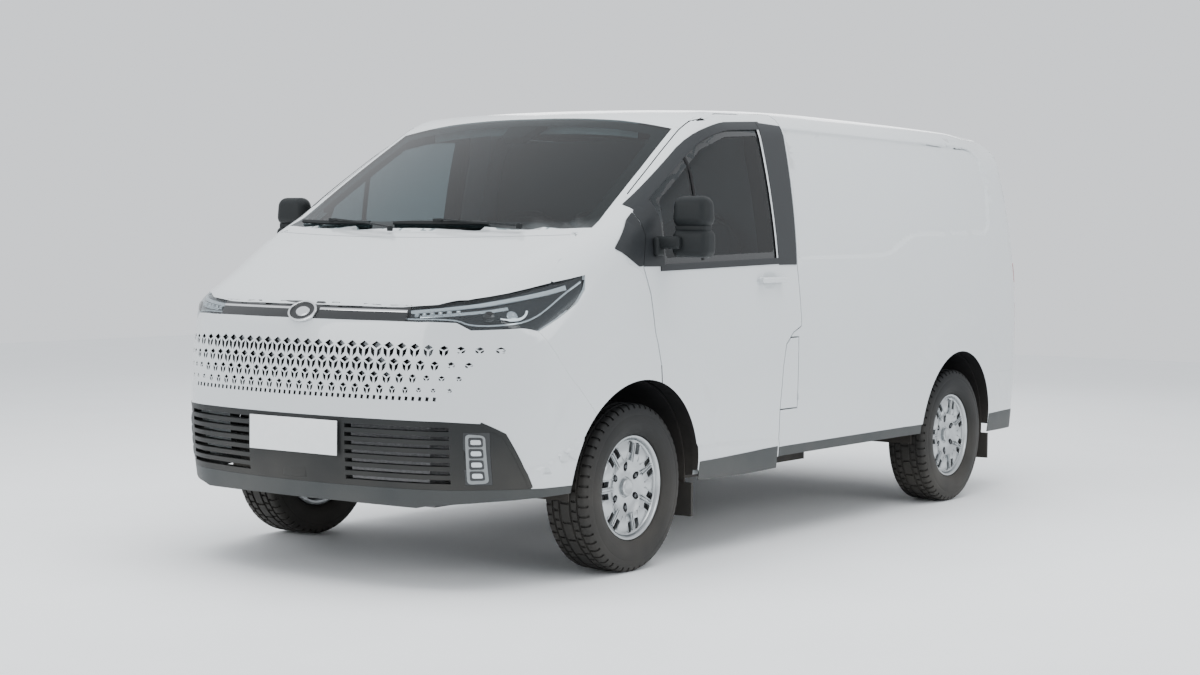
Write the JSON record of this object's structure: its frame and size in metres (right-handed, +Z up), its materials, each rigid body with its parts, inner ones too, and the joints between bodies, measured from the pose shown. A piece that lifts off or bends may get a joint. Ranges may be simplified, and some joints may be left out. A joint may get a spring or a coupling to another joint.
{
  "type": "panel van",
  "caption": "Closed delivery van with a short sloping bonnet, two cab doors, a sliding side door and hinged rear doors, on steered front wheels.",
  "frame": {"origin": "on the ground under the middle of the van's box", "axes": "+X to the front of the van, +Y to its left, +Z up"},
  "size_m": [4.998, 2.4554, 1.9947],
  "materials": {
    "floor": "satin",
    "side_left": "gloss",
    "side_right": "gloss",
    "roof": "gloss",
    "front_frame": "gloss",
    "wings": "gloss",
    "bonnet": "gloss",
    "front_bumper": "gloss",
    "grille_strip": "gloss",
    "lower_grille": "gloss",
    "front_lip": "matte",
    "headlamps": "clear",
    "fog_lamps": "clear",
    "windscreen": "clear",
    "wipers": "matte",
    "front_plate": "satin",
    "rear_plate": "satin",
    "front_door_left": "gloss",
    "front_door_right": "gloss",
    "door_glass_left": "clear",
    "door_glass_right": "clear",
    "mirror_left": "matte",
    "mirror_right": "matte",
    "sliding_door": "gloss",
    "rear_door_left": "gloss",
    "rear_door_right": "gloss",
    "rear_bumper": "gloss",
    "tail_lamps": "gloss",
    "filler_flap": "gloss",
    "sill_trims": "matte",
    "mud_flaps": "matte",
    "arch_liners": "matte",
    "bulkhead": "satin",
    "dashboard": "matte",
    "steering_wheel": "matte",
    "seats": "woven",
    "battery_pack": "cast",
    "drive_unit": "cast",
    "front_suspension": "satin",
    "rear_axle": "satin",
    "knuckle_left": "machined",
    "knuckle_right": "machined",
    "rim_front_left": "painted silver",
    "rim_front_right": "painted silver",
    "rim_rear_left": "painted silver",
    "rim_rear_right": "painted silver",
    "tyre_front_left": "matte",
    "tyre_front_right": "matte",
    "tyre_rear_left": "matte",
    "tyre_rear_right": "matte"
  },
  "bodies": {
    "body": {"floor": "floor", "side_left": "side_left", "side_right": "side_right", "roof": "roof", "front_frame": "front_frame", "wings": "wings", "front_bumper": "front_bumper", "grille_strip": "grille_strip", "lower_grille": "lower_grille", "front_lip": "front_lip", "headlamps": "headlamps", "fog_lamps": "fog_lamps", "windscreen": "windscreen", "wipers": "wipers", "front_plate": "front_plate", "sliding_door": "sliding_door", "rear_bumper": "rear_bumper", "tail_lamps": "tail_lamps", "sill_trims": "sill_trims", "mud_flaps": "mud_flaps", "arch_liners": "arch_liners", "bulkhead": "bulkhead", "dashboard": "dashboard", "steering_wheel": "steering_wheel", "seats": "seats", "battery_pack": "battery_pack", "drive_unit": "drive_unit", "front_suspension": "front_suspension", "rear_axle": "rear_axle"},
    "front_door_left": {"front_door_left": "front_door_left", "door_glass_left": "door_glass_left", "mirror_left": "mirror_left"},
    "front_door_right": {"front_door_right": "front_door_right", "door_glass_right": "door_glass_right", "mirror_right": "mirror_right"},
    "bonnet": {"bonnet": "bonnet"},
    "rear_door_left": {"rear_door_left": "rear_door_left", "rear_plate": "rear_plate"},
    "rear_door_right": {"rear_door_right": "rear_door_right"},
    "filler_flap": {"filler_flap": "filler_flap"},
    "knuckle_left": {"knuckle_left": "knuckle_left"},
    "knuckle_right": {"knuckle_right": "knuckle_right"},
    "wheel_front_left": {"rim_front_left": "rim_front_left", "tyre_front_left": "tyre_front_left"},
    "wheel_front_right": {"rim_front_right": "rim_front_right", "tyre_front_right": "tyre_front_right"},
    "wheel_rear_left": {"rim_rear_left": "rim_rear_left", "tyre_rear_left": "tyre_rear_left"},
    "wheel_rear_right": {"rim_rear_right": "rim_rear_right", "tyre_rear_right": "tyre_rear_right"}
  },
  "joints": [
    {"name": "front_door_left_hinge", "type": "hinge", "parent": "body", "child": "front_door_left", "pos_m": [1.465, 0.994, 1], "axis": [0, 0, -1], "range_deg": [0, 70]},
    {"name": "front_door_right_hinge", "type": "hinge", "parent": "body", "child": "front_door_right", "pos_m": [1.465, -0.994, 1], "axis": [0, 0, 1], "range_deg": [0, 70]},
    {"name": "rear_door_left_hinge", "type": "hinge", "parent": "body", "child": "rear_door_left", "pos_m": [-2.462, 0.859, 1], "axis": [0, 0, -1], "range_deg": [0, 180]},
    {"name": "rear_door_right_hinge", "type": "hinge", "parent": "body", "child": "rear_door_right", "pos_m": [-2.462, -0.859, 1], "axis": [0, 0, 1], "range_deg": [0, 180]},
    {"name": "bonnet_hinge", "type": "hinge", "parent": "body", "child": "bonnet", "pos_m": [1.706, 0, 1.396], "axis": [0, -1, 0], "range_deg": [0, 50]},
    {"name": "filler_flap_hinge", "type": "hinge", "parent": "body", "child": "filler_flap", "pos_m": [0.211, 1.0125, 0.77], "axis": [0, 0, 1], "range_deg": [0, 100]},
    {"name": "steer_left", "type": "hinge", "parent": "body", "child": "knuckle_left", "pos_m": [1.5, 0.8465, 0.35], "axis": [0, 0, 1], "range_deg": [-35, 35]},
    {"name": "steer_right", "type": "hinge", "parent": "body", "child": "knuckle_right", "pos_m": [1.5, -0.8465, 0.35], "axis": [0, 0, 1], "range_deg": [-35, 35]},
    {"name": "spin_front_left", "type": "hinge", "parent": "knuckle_left", "child": "wheel_front_left", "pos_m": [1.5, 0.8765, 0.35], "axis": [0, 1, 0], "continuous": true},
    {"name": "spin_front_right", "type": "hinge", "parent": "knuckle_right", "child": "wheel_front_right", "pos_m": [1.5, -0.8765, 0.35], "axis": [0, 1, 0], "continuous": true},
    {"name": "spin_rear_left", "type": "hinge", "parent": "body", "child": "wheel_rear_left", "pos_m": [-1.5, 0.8765, 0.35], "axis": [0, 1, 0], "continuous": true},
    {"name": "spin_rear_right", "type": "hinge", "parent": "body", "child": "wheel_rear_right", "pos_m": [-1.5, -0.8765, 0.35], "axis": [0, 1, 0], "continuous": true}
  ],
  "couplings": [
    {"joint": "steer_right", "follows": "steer_left", "ratio": 1}
  ]
}
